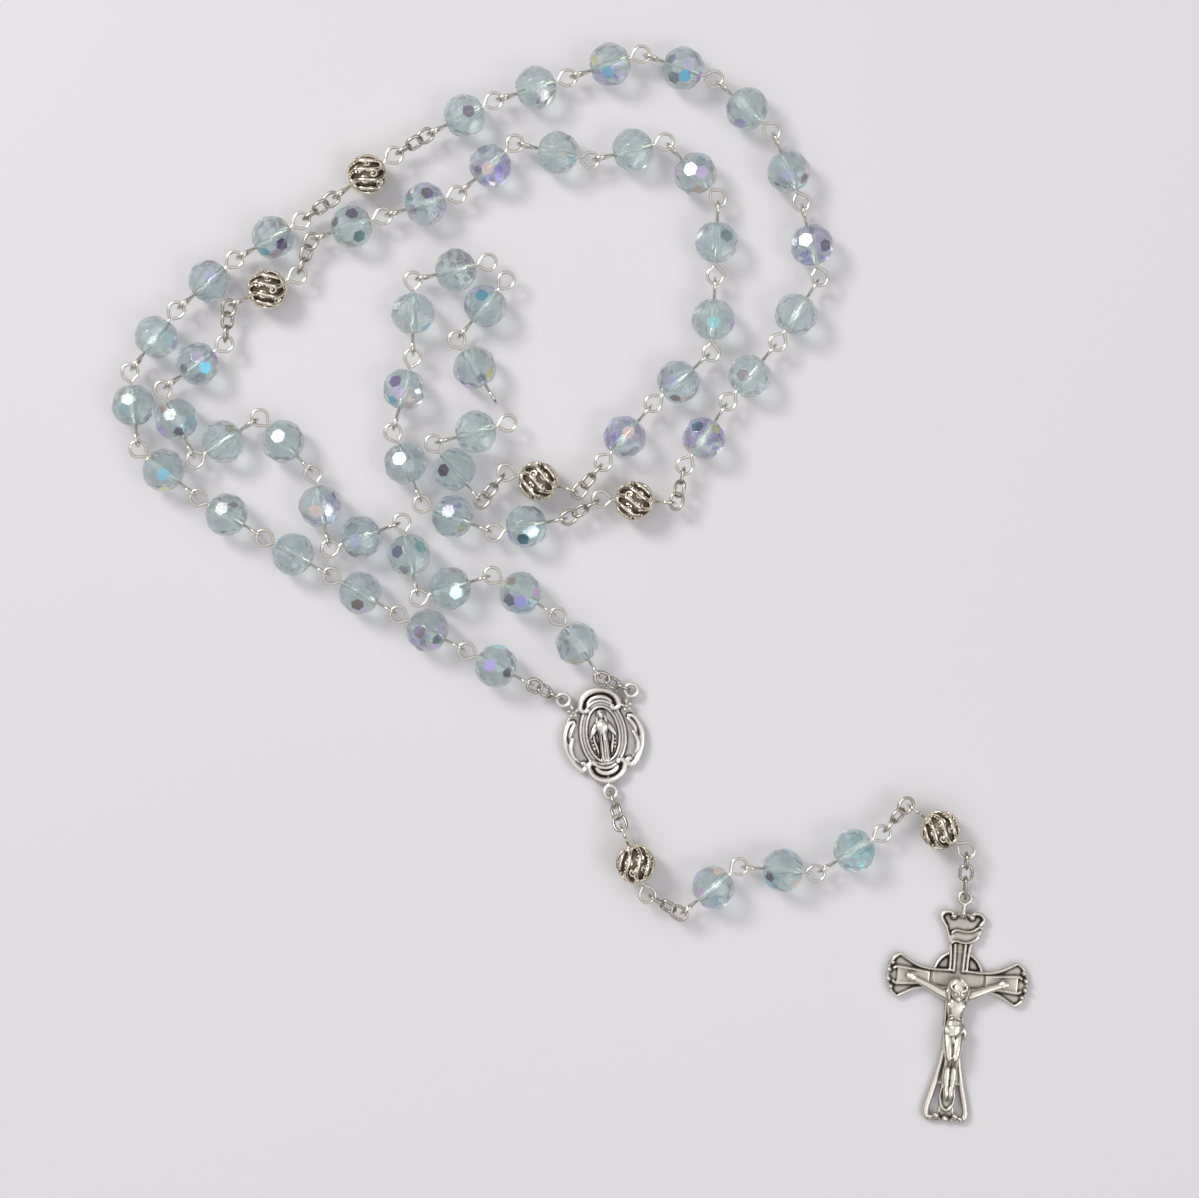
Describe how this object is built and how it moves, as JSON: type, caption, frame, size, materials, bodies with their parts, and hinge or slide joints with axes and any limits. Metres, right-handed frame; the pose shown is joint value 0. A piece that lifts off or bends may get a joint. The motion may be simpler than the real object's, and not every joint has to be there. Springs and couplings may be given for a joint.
{
  "type": "rosary",
  "caption": "Prayer beads: glass beads on hooked wire pins form a loop closed by a centre medal, with a short pendant of beads ending in a crucifix.",
  "frame": {"origin": "centre of the centre medal's flat back, on the surface the rosary lies on", "axes": "+Z up off the surface; +Y runs from the pendant and crucifix towards the far end of the laid-out loop; +X to the right, seen from above with +Y up"},
  "size_m": [0.1491, 0.1752, 0.0072],
  "materials": {
    "aqua_crystal": "faceted light aqua glass with a thin iridescent coating",
    "silver_wire": "bright warm silver-plated wire",
    "filigree_silver": "warm silver openwork, dark in the hollows",
    "antiqued_silver": "antiqued silver, dark in the hollows"
  },
  "bodies": {
    "centre_medal": {"centre_medal": "antiqued_silver"},
    "links_medal_to_decade_1": {"links_medal_to_decade_1": "antiqued_silver"},
    "decade_1_beads_1_2": {"decade_1_beads_1_2": "aqua_crystal"},
    "decade_1_beads_3_4": {"decade_1_beads_3_4": "aqua_crystal"},
    "decade_1_beads_5_6": {"decade_1_beads_5_6": "aqua_crystal"},
    "decade_1_beads_7_8": {"decade_1_beads_7_8": "aqua_crystal"},
    "decade_1_beads_9_10": {"decade_1_beads_9_10": "aqua_crystal"},
    "links_decade_1_to_father_1": {"links_decade_1_to_father_1": "antiqued_silver"},
    "our_father_1_pin": {"our_father_1_pin": "silver_wire"},
    "our_father_1_bead": {"our_father_1_bead": "filigree_silver"},
    "links_father_1_to_decade_2": {"links_father_1_to_decade_2": "antiqued_silver"},
    "decade_2_beads_1_2": {"decade_2_beads_1_2": "aqua_crystal"},
    "decade_2_beads_3_4": {"decade_2_beads_3_4": "aqua_crystal"},
    "decade_2_beads_5_6": {"decade_2_beads_5_6": "aqua_crystal"},
    "decade_2_beads_7_8": {"decade_2_beads_7_8": "aqua_crystal"},
    "decade_2_beads_9_10": {"decade_2_beads_9_10": "aqua_crystal"},
    "links_decade_2_to_father_2": {"links_decade_2_to_father_2": "antiqued_silver"},
    "our_father_2_pin": {"our_father_2_pin": "silver_wire"},
    "our_father_2_bead": {"our_father_2_bead": "filigree_silver"},
    "links_father_2_to_decade_3": {"links_father_2_to_decade_3": "antiqued_silver"},
    "decade_3_beads_1_2": {"decade_3_beads_1_2": "aqua_crystal"},
    "decade_3_beads_3_4": {"decade_3_beads_3_4": "aqua_crystal"},
    "links_medal_to_decade_5": {"links_medal_to_decade_5": "antiqued_silver"},
    "decade_5_beads_10_9": {"decade_5_beads_10_9": "aqua_crystal"},
    "decade_5_beads_8_7": {"decade_5_beads_8_7": "aqua_crystal"},
    "decade_5_beads_6_5": {"decade_5_beads_6_5": "aqua_crystal"},
    "decade_5_beads_4_3": {"decade_5_beads_4_3": "aqua_crystal"},
    "decade_5_beads_2_1": {"decade_5_beads_2_1": "aqua_crystal"},
    "links_decade_5_to_father_4": {"links_decade_5_to_father_4": "antiqued_silver"},
    "our_father_4_pin": {"our_father_4_pin": "silver_wire"},
    "our_father_4_bead": {"our_father_4_bead": "filigree_silver"},
    "links_father_4_to_decade_4": {"links_father_4_to_decade_4": "antiqued_silver"},
    "decade_4_beads_10_9": {"decade_4_beads_10_9": "aqua_crystal"},
    "decade_4_beads_8_7": {"decade_4_beads_8_7": "aqua_crystal"},
    "decade_4_beads_6_5": {"decade_4_beads_6_5": "aqua_crystal"},
    "decade_4_beads_4_3": {"decade_4_beads_4_3": "aqua_crystal"},
    "decade_4_beads_2_1": {"decade_4_beads_2_1": "aqua_crystal"},
    "links_decade_4_to_father_3": {"links_decade_4_to_father_3": "antiqued_silver"},
    "our_father_3_pin": {"our_father_3_pin": "silver_wire"},
    "our_father_3_bead": {"our_father_3_bead": "filigree_silver"},
    "links_father_3_to_decade_3": {"links_father_3_to_decade_3": "antiqued_silver"},
    "decade_3_beads_10_9": {"decade_3_beads_10_9": "aqua_crystal"},
    "decade_3_beads_8_7": {"decade_3_beads_8_7": "aqua_crystal"},
    "decade_3_beads_6_5": {"decade_3_beads_6_5": "aqua_crystal"},
    "links_medal_to_father_5": {"links_medal_to_father_5": "antiqued_silver"},
    "our_father_5_pin": {"our_father_5_pin": "silver_wire"},
    "our_father_5_bead": {"our_father_5_bead": "filigree_silver"},
    "links_father_5_to_pendant": {"links_father_5_to_pendant": "antiqued_silver"},
    "pendant_pin_1": {"pendant_pin_1": "silver_wire"},
    "pendant_bead_1": {"pendant_bead_1": "aqua_crystal"},
    "pendant_pin_2": {"pendant_pin_2": "silver_wire"},
    "pendant_bead_2": {"pendant_bead_2": "aqua_crystal"},
    "pendant_pin_3": {"pendant_pin_3": "silver_wire"},
    "pendant_bead_3": {"pendant_bead_3": "aqua_crystal"},
    "links_pendant_to_father_6": {"links_pendant_to_father_6": "antiqued_silver"},
    "our_father_6_pin": {"our_father_6_pin": "silver_wire"},
    "our_father_6_bead": {"our_father_6_bead": "filigree_silver"},
    "links_father_6_to_crucifix": {"links_father_6_to_crucifix": "antiqued_silver"},
    "crucifix": {"crucifix_cross": "antiqued_silver", "crucifix_figure": "antiqued_silver"}
  },
  "joints": [
    {"name": "links_medal_to_decade_1_lift", "type": "hinge", "parent": "centre_medal", "child": "links_medal_to_decade_1", "pos_m": [0.00368, 0.00775, 0.0015], "axis": [0.3746, 0.9272, 0], "range_deg": [-40, 35]},
    {"name": "decade_1_beads_1_2_lift", "type": "hinge", "parent": "links_medal_to_decade_1", "child": "decade_1_beads_1_2", "pos_m": [-0.00093, 0.01025, 0.00383], "axis": [-0.8192, -0.5736, 0], "range_deg": [-40, 35]},
    {"name": "decade_1_beads_3_4_lift", "type": "hinge", "parent": "decade_1_beads_1_2", "child": "decade_1_beads_3_4", "pos_m": [-0.0192, 0.02566, 0.00349], "axis": [-0.2924, 0.9563, 0], "range_deg": [-40, 35]},
    {"name": "decade_1_beads_5_6_lift", "type": "hinge", "parent": "decade_1_beads_3_4", "child": "decade_1_beads_5_6", "pos_m": [-0.03373, 0.03417, 0.0035], "axis": [0.342, -0.9397, 0], "range_deg": [-40, 35]},
    {"name": "decade_1_beads_7_8_lift", "type": "hinge", "parent": "decade_1_beads_5_6", "child": "decade_1_beads_7_8", "pos_m": [-0.04776, 0.0435, 0.0035], "axis": [0.7193, 0.6947, 0], "range_deg": [-40, 35]},
    {"name": "decade_1_beads_9_10_lift", "type": "hinge", "parent": "decade_1_beads_7_8", "child": "decade_1_beads_9_10", "pos_m": [-0.06657, 0.04593, 0.0035], "axis": [-0.9063, -0.4226, 0], "range_deg": [-40, 35]},
    {"name": "links_decade_1_to_father_1_lift", "type": "hinge", "parent": "decade_1_beads_9_10", "child": "links_decade_1_to_father_1", "pos_m": [-0.06106, 0.06472, 0.0035], "axis": [0.9945, -0.1045, 0], "range_deg": [-40, 35]},
    {"name": "our_father_1_pin_lift", "type": "hinge", "parent": "links_decade_1_to_father_1", "child": "our_father_1_pin", "pos_m": [-0.05963, 0.07, 0.0035], "axis": [-0.4067, 0.9135, 0], "range_deg": [-40, 35]},
    {"name": "our_father_1_bead_spin", "type": "hinge", "parent": "our_father_1_pin", "child": "our_father_1_bead", "pos_m": [-0.05433, 0.07236, 0.0035], "axis": [0.9135, 0.4067, 0], "continuous": true},
    {"name": "links_father_1_to_decade_2_lift", "type": "hinge", "parent": "our_father_1_pin", "child": "links_father_1_to_decade_2", "pos_m": [-0.04893, 0.07577, 0.0035], "axis": [0.9336, -0.3584, 0], "range_deg": [-40, 35]},
    {"name": "decade_2_beads_1_2_lift", "type": "hinge", "parent": "links_father_1_to_decade_2", "child": "decade_2_beads_1_2", "pos_m": [-0.04623, 0.08065, 0.0035], "axis": [-0.309, 0.9511, 0], "range_deg": [-40, 35]},
    {"name": "decade_2_beads_3_4_lift", "type": "hinge", "parent": "decade_2_beads_1_2", "child": "decade_2_beads_3_4", "pos_m": [-0.02259, 0.08843, 0.0035], "axis": [0.6691, -0.7431, 0], "range_deg": [-40, 35]},
    {"name": "decade_2_beads_5_6_lift", "type": "hinge", "parent": "decade_2_beads_3_4", "child": "decade_2_beads_5_6", "pos_m": [-0.00083, 0.09343, 0.0035], "axis": [-0.2419, 0.9703, 0], "range_deg": [-40, 35]},
    {"name": "decade_2_beads_7_8_lift", "type": "hinge", "parent": "decade_2_beads_5_6", "child": "decade_2_beads_7_8", "pos_m": [0.01852, 0.08569, 0.0035], "axis": [-0.9994, 0.0349, 0], "range_deg": [-40, 35]},
    {"name": "decade_2_beads_9_10_lift", "type": "hinge", "parent": "decade_2_beads_7_8", "child": "decade_2_beads_9_10", "pos_m": [0.01649, 0.06116, 0.0035], "axis": [0.6561, -0.7547, 0], "range_deg": [-40, 35]},
    {"name": "links_decade_2_to_father_2_lift", "type": "hinge", "parent": "decade_2_beads_9_10", "child": "links_decade_2_to_father_2", "pos_m": [-0.00083, 0.04325, 0.0035], "axis": [-0.766, 0.6428, 0], "range_deg": [-40, 35]},
    {"name": "our_father_2_pin_lift", "type": "hinge", "parent": "links_decade_2_to_father_2", "child": "our_father_2_pin", "pos_m": [-0.00495, 0.03975, 0.0035], "axis": [-0.2588, -0.9659, 0], "range_deg": [-40, 35]},
    {"name": "our_father_2_bead_spin", "type": "hinge", "parent": "our_father_2_pin", "child": "our_father_2_bead", "pos_m": [-0.01055, 0.04125, 0.0035], "axis": [-0.9659, 0.2588, 0], "continuous": true},
    {"name": "links_father_2_to_decade_3_lift", "type": "hinge", "parent": "our_father_2_pin", "child": "links_father_2_to_decade_3", "pos_m": [-0.0166, 0.04165, 0.0035], "axis": [-0.766, 0.6428, 0], "range_deg": [-40, 35]},
    {"name": "decade_3_beads_1_2_lift", "type": "hinge", "parent": "links_father_2_to_decade_3", "child": "decade_3_beads_1_2", "pos_m": [-0.02041, 0.03865, 0.0035], "axis": [-0.7547, -0.6561, 0], "range_deg": [-40, 35]},
    {"name": "decade_3_beads_3_4_lift", "type": "hinge", "parent": "decade_3_beads_1_2", "child": "decade_3_beads_3_4", "pos_m": [-0.01773, 0.05465, 0.0035], "axis": [0.848, 0.5299, 0], "range_deg": [-40, 35]},
    {"name": "links_medal_to_decade_5_lift", "type": "hinge", "parent": "centre_medal", "child": "links_medal_to_decade_5", "pos_m": [-0.00736, 0.00628, 0.0015], "axis": [-0.454, -0.891, 0], "range_deg": [-40, 40]},
    {"name": "decade_5_beads_10_9_lift", "type": "hinge", "parent": "links_medal_to_decade_5", "child": "decade_5_beads_10_9", "pos_m": [-0.01216, 0.00872, 0.00391], "axis": [0.454, 0.891, 0], "range_deg": [-40, 40]},
    {"name": "decade_5_beads_8_7_lift", "type": "hinge", "parent": "decade_5_beads_10_9", "child": "decade_5_beads_8_7", "pos_m": [-0.03429, 0.02032, 0.00348], "axis": [-0.5, -0.866, 0], "range_deg": [-40, 40]},
    {"name": "decade_5_beads_6_5_lift", "type": "hinge", "parent": "decade_5_beads_8_7", "child": "decade_5_beads_6_5", "pos_m": [-0.05593, 0.03284, 0.0035], "axis": [0.515, 0.8572, 0], "range_deg": [-40, 40]},
    {"name": "decade_5_beads_4_3_lift", "type": "hinge", "parent": "decade_5_beads_6_5", "child": "decade_5_beads_4_3", "pos_m": [-0.07538, 0.04777, 0.0035], "axis": [-0.9945, -0.1045, 0], "range_deg": [-40, 40]},
    {"name": "decade_5_beads_2_1_lift", "type": "hinge", "parent": "decade_5_beads_4_3", "child": "decade_5_beads_2_1", "pos_m": [-0.06805, 0.06974, 0.0035], "axis": [0.6561, -0.7547, 0], "range_deg": [-40, 40]},
    {"name": "links_decade_5_to_father_4_lift", "type": "hinge", "parent": "decade_5_beads_2_1", "child": "links_decade_5_to_father_4", "pos_m": [-0.04772, 0.08411, 0.0035], "axis": [-0.5878, 0.809, 0], "range_deg": [-40, 40]},
    {"name": "our_father_4_pin_lift", "type": "hinge", "parent": "links_decade_5_to_father_4", "child": "our_father_4_pin", "pos_m": [-0.04294, 0.08756, 0.0035], "axis": [0.5736, -0.8192, 0], "range_deg": [-40, 40]},
    {"name": "our_father_4_bead_spin", "type": "hinge", "parent": "our_father_4_pin", "child": "our_father_4_bead", "pos_m": [-0.03819, 0.09089, 0.0035], "axis": [0.8192, 0.5736, 0], "continuous": true},
    {"name": "links_father_4_to_decade_4_lift", "type": "hinge", "parent": "our_father_4_pin", "child": "links_father_4_to_decade_4", "pos_m": [-0.03266, 0.09467, 0.0035], "axis": [-0.5299, 0.848, 0], "range_deg": [-40, 40]},
    {"name": "decade_4_beads_10_9_lift", "type": "hinge", "parent": "links_father_4_to_decade_4", "child": "decade_4_beads_10_9", "pos_m": [-0.02761, 0.09772, 0.0035], "axis": [0.454, -0.891, 0], "range_deg": [-40, 40]},
    {"name": "decade_4_beads_8_7_lift", "type": "hinge", "parent": "decade_4_beads_10_9", "child": "decade_4_beads_8_7", "pos_m": [-0.00444, 0.10686, 0.0035], "axis": [-0.309, 0.9511, 0], "range_deg": [-40, 40]},
    {"name": "decade_4_beads_6_5_lift", "type": "hinge", "parent": "decade_4_beads_8_7", "child": "decade_4_beads_6_5", "pos_m": [0.01899, 0.10539, 0.0035], "axis": [-0.6691, -0.7431, 0], "range_deg": [-40, 40]},
    {"name": "decade_4_beads_4_3_lift", "type": "hinge", "parent": "decade_4_beads_6_5", "child": "decade_4_beads_4_3", "pos_m": [0.03231, 0.08504, 0.0035], "axis": [0.9703, 0.2419, 0], "range_deg": [-40, 40]},
    {"name": "decade_4_beads_2_1_lift", "type": "hinge", "parent": "decade_4_beads_4_3", "child": "decade_4_beads_2_1", "pos_m": [0.02738, 0.06269, 0.0035], "axis": [-0.766, 0.6428, 0], "range_deg": [-40, 40]},
    {"name": "links_decade_4_to_father_3_lift", "type": "hinge", "parent": "decade_4_beads_2_1", "child": "links_decade_4_to_father_3", "pos_m": [0.0129, 0.04248, 0.0035], "axis": [0.9744, -0.225, 0], "range_deg": [-40, 40]},
    {"name": "our_father_3_pin_lift", "type": "hinge", "parent": "links_decade_4_to_father_3", "child": "our_father_3_pin", "pos_m": [0.0108, 0.03776, 0.0035], "axis": [0.0523, 0.9986, 0], "range_deg": [-40, 40]},
    {"name": "our_father_3_bead_spin", "type": "hinge", "parent": "our_father_3_pin", "child": "our_father_3_bead", "pos_m": [0.005, 0.03807, 0.0035], "axis": [-0.9986, 0.0523, 0], "continuous": true},
    {"name": "links_father_3_to_decade_3_lift", "type": "hinge", "parent": "our_father_3_pin", "child": "links_father_3_to_decade_3", "pos_m": [-0.00151, 0.0377, 0.0035], "axis": [0.5, -0.866, 0], "range_deg": [-40, 40]},
    {"name": "decade_3_beads_10_9_lift", "type": "hinge", "parent": "links_father_3_to_decade_3", "child": "decade_3_beads_10_9", "pos_m": [-0.00674, 0.03506, 0.0035], "axis": [-0.1908, 0.9816, 0], "range_deg": [-40, 40]},
    {"name": "decade_3_beads_8_7_lift", "type": "hinge", "parent": "decade_3_beads_10_9", "child": "decade_3_beads_8_7", "pos_m": [-0.02981, 0.03881, 0.0035], "axis": [-0.9272, -0.3746, 0], "range_deg": [-40, 40]},
    {"name": "decade_3_beads_6_5_lift", "type": "hinge", "parent": "decade_3_beads_8_7", "child": "decade_3_beads_6_5", "pos_m": [-0.03077, 0.06257, 0.0035], "axis": [1, 0, 0], "range_deg": [-40, 40]},
    {"name": "links_medal_to_father_5_lift", "type": "hinge", "parent": "centre_medal", "child": "links_medal_to_father_5", "pos_m": [0.00143, -0.01008, 0.0015], "axis": [-0.9511, -0.309, 0], "range_deg": [-40, 40]},
    {"name": "our_father_5_pin_swing", "type": "hinge", "parent": "links_medal_to_father_5", "child": "our_father_5_pin", "pos_m": [0.00315, -0.01519, 0.00391], "axis": [0, 0, 1], "range_deg": [-25, 25]},
    {"name": "our_father_5_bead_spin", "type": "hinge", "parent": "our_father_5_pin", "child": "our_father_5_bead", "pos_m": [0.00523, -0.0206, 0.0037], "axis": [0.3581, -0.933, -0.0364], "continuous": true},
    {"name": "links_father_5_to_pendant_lift", "type": "hinge", "parent": "our_father_5_pin", "child": "links_father_5_to_pendant", "pos_m": [0.00829, -0.02628, 0.00346], "axis": [0.5, 0.866, 0], "range_deg": [-40, 40]},
    {"name": "pendant_pin_1_swing", "type": "hinge", "parent": "links_father_5_to_pendant", "child": "pendant_pin_1", "pos_m": [0.01331, -0.0281, 0.0035], "axis": [0, 0, -1], "range_deg": [-20, 35]},
    {"name": "pendant_bead_1_spin", "type": "hinge", "parent": "pendant_pin_1", "child": "pendant_bead_1", "pos_m": [0.01781, -0.02445, 0.0035], "axis": [0.7771, 0.6293, -0.0002], "continuous": true},
    {"name": "pendant_pin_2_lift", "type": "hinge", "parent": "pendant_pin_1", "child": "pendant_pin_2", "pos_m": [0.02331, -0.02117, 0.0035], "axis": [-0.0872, -0.9962, 0], "range_deg": [-40, 40]},
    {"name": "pendant_bead_2_spin", "type": "hinge", "parent": "pendant_pin_2", "child": "pendant_bead_2", "pos_m": [0.02908, -0.02167, 0.0035], "axis": [0.9962, -0.0872, 0], "continuous": true},
    {"name": "pendant_pin_3_swing", "type": "hinge", "parent": "pendant_pin_2", "child": "pendant_pin_3", "pos_m": [0.03558, -0.02148, 0.0035], "axis": [0, 0, 1], "range_deg": [-35, 30]},
    {"name": "pendant_bead_3_spin", "type": "hinge", "parent": "pendant_pin_3", "child": "pendant_bead_3", "pos_m": [0.04055, -0.01849, 0.0035], "axis": [0.8572, 0.515, 0], "continuous": true},
    {"name": "links_pendant_to_father_6_lift", "type": "hinge", "parent": "pendant_pin_3", "child": "links_pendant_to_father_6", "pos_m": [0.04601, -0.01471, 0.0035], "axis": [-0.766, 0.6428, 0], "range_deg": [-40, 40]},
    {"name": "our_father_6_pin_swing", "type": "hinge", "parent": "links_pendant_to_father_6", "child": "our_father_6_pin", "pos_m": [0.04995, -0.01157, 0.0035], "axis": [0, 0, -1], "range_deg": [-40, 25]},
    {"name": "our_father_6_bead_spin", "type": "hinge", "parent": "our_father_6_pin", "child": "our_father_6_bead", "pos_m": [0.05452, -0.01514, 0.0035], "axis": [0.788, -0.6157, 0], "continuous": true},
    {"name": "links_father_6_to_crucifix_lift", "type": "hinge", "parent": "our_father_6_pin", "child": "links_father_6_to_crucifix", "pos_m": [0.05878, -0.01977, 0.0035], "axis": [-1, 0, 0], "range_deg": [-40, 40]},
    {"name": "crucifix_swing", "type": "hinge", "parent": "links_father_6_to_crucifix", "child": "crucifix", "pos_m": [0.05878, -0.02653, 0.0015], "axis": [0, 0, 1], "range_deg": [-40, 40]}
  ]
}
